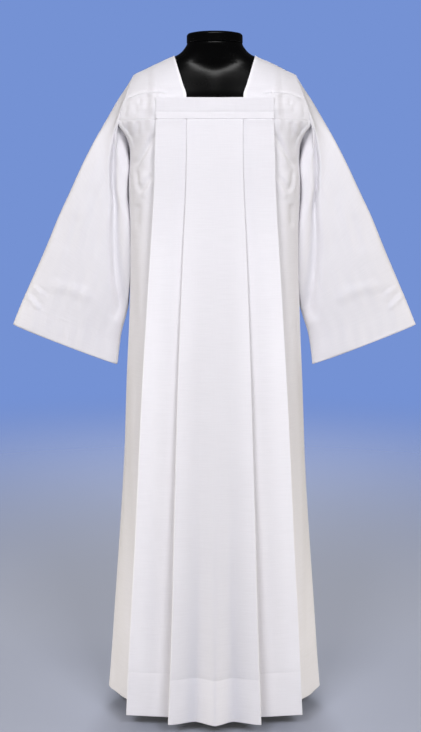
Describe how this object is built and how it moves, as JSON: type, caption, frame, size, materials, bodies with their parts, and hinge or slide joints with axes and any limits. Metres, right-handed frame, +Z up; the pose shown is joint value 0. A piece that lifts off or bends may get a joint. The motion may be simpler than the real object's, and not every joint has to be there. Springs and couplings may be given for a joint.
{
  "type": "alb on limbless dress form",
  "caption": "Long white square-yoked alb with pressed box pleats and wide sleeves, worn by a black limbless dress form on a pole and a round base.",
  "frame": {"origin": "on the floor under the middle of the garment: centre of the bounding box's bottom face", "axes": "+Z up along the pole; the front of the garment faces -Y; +X runs along the shoulders to the right in a front view"},
  "size_m": [0.8996, 0.4262, 1.5065],
  "materials": {
    "cloth": "plain woven linen-look cloth, matt, white",
    "form_gloss": "smooth polished black",
    "stand_metal": "satin black paint"
  },
  "bodies": {
    "root": {"front_body": "cloth", "back_body": "cloth", "front_yoke": "cloth", "back_yoke": "cloth", "shoulder_left": "cloth", "shoulder_right": "cloth", "sleeve_left": "cloth", "sleeve_right": "cloth", "form_torso": "form_gloss", "form_neck_cap": "form_gloss", "stand_pole": "stand_metal", "stand_base": "stand_metal"}
  },
  "joints": []
}
